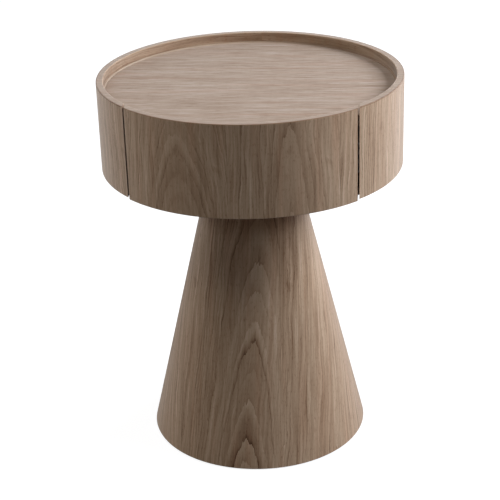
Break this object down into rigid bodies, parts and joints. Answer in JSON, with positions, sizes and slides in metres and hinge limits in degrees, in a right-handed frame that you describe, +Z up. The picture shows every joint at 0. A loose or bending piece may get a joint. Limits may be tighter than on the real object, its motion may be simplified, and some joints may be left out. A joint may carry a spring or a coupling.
{
  "type": "nightstand",
  "caption": "Round nightstand: a veneered drum with a lipped tray top and a curved full-height drawer front, on a hollow cone-shaped pedestal.",
  "frame": {"origin": "on the floor, under the axis of the drum and the cone", "axes": "+Z up along that axis, the drawer opens towards -Y, +X to the right of someone who faces the drawer"},
  "size_m": [0.4698, 0.4699, 0.602],
  "materials": {
    "veneer": "satin grey-brown veneer, upright grain with cathedral figure",
    "tray_veneer": "satin grey-brown veneer, fine straight grain",
    "plywood": "clear matt birch plywood",
    "fibreboard": "matt sealed fibreboard",
    "beech": "bare fluted beech",
    "zinc_steel": "bright zinc plate",
    "ball_steel": "polished steel balls",
    "brass": "turned brass",
    "nylon": "moulded white nylon",
    "rubber": "matt black rubber"
  },
  "bodies": {
    "carcass": {"side_band": "veneer", "tray_panel": "tray_veneer", "tray_bead": "tray_veneer", "drum_floor": "fibreboard", "left_partition": "plywood", "right_partition": "plywood", "back_panel": "plywood", "carcass_dowels": "beech", "drawer_bumpers": "rubber", "upper_glue_blocks": "plywood", "lower_glue_blocks": "plywood", "cone_shell": "veneer", "neck_disc": "plywood", "former_ring": "plywood", "foot_ring": "fibreboard", "floor_glides": "nylon", "threaded_inserts": "brass", "bolt_washers": "zinc_steel", "neck_bolts": "zinc_steel", "left_cabinet_rail": "zinc_steel", "right_cabinet_rail": "zinc_steel", "cabinet_rail_screws": "zinc_steel"},
    "drawer": {"drawer_front": "veneer", "drawer_left_side": "plywood", "drawer_right_side": "plywood", "drawer_back": "plywood", "drawer_bottom": "plywood", "front_corner_blocks": "plywood", "front_screws": "zinc_steel", "front_cleat": "plywood", "left_drawer_rail": "zinc_steel", "right_drawer_rail": "zinc_steel", "drawer_rail_screws": "zinc_steel"},
    "left_middle": {"left_middle_rail": "zinc_steel"},
    "right_middle": {"right_middle_rail": "zinc_steel"},
    "left_outer_bearing": {"left_outer_cage": "nylon", "left_outer_balls": "ball_steel"},
    "right_outer_bearing": {"right_outer_cage": "nylon", "right_outer_balls": "ball_steel"},
    "left_inner_bearing": {"left_inner_cage": "nylon", "left_inner_balls": "ball_steel"},
    "right_inner_bearing": {"right_inner_cage": "nylon", "right_inner_balls": "ball_steel"}
  },
  "joints": [
    {"name": "drawer_slide", "type": "slide", "parent": "carcass", "child": "drawer", "axis": [0, -1, 0], "range_m": [0, 0.24]},
    {"name": "left_middle_slide", "type": "slide", "parent": "carcass", "child": "left_middle", "axis": [0, -1, 0], "range_m": [0, 0.12]},
    {"name": "right_middle_slide", "type": "slide", "parent": "carcass", "child": "right_middle", "axis": [0, -1, 0], "range_m": [0, 0.12]},
    {"name": "left_outer_bearing_slide", "type": "slide", "parent": "carcass", "child": "left_outer_bearing", "axis": [0, -1, 0], "range_m": [0, 0.06]},
    {"name": "right_outer_bearing_slide", "type": "slide", "parent": "carcass", "child": "right_outer_bearing", "axis": [0, -1, 0], "range_m": [0, 0.06]},
    {"name": "left_inner_bearing_slide", "type": "slide", "parent": "carcass", "child": "left_inner_bearing", "axis": [0, -1, 0], "range_m": [0, 0.18]},
    {"name": "right_inner_bearing_slide", "type": "slide", "parent": "carcass", "child": "right_inner_bearing", "axis": [0, -1, 0], "range_m": [0, 0.18]}
  ],
  "couplings": [
    {"joint": "left_middle_slide", "follows": "drawer_slide", "ratio": 0.5},
    {"joint": "right_middle_slide", "follows": "drawer_slide", "ratio": 0.5},
    {"joint": "left_outer_bearing_slide", "follows": "drawer_slide", "ratio": 0.25},
    {"joint": "right_outer_bearing_slide", "follows": "drawer_slide", "ratio": 0.25},
    {"joint": "left_inner_bearing_slide", "follows": "drawer_slide", "ratio": 0.75},
    {"joint": "right_inner_bearing_slide", "follows": "drawer_slide", "ratio": 0.75}
  ]
}
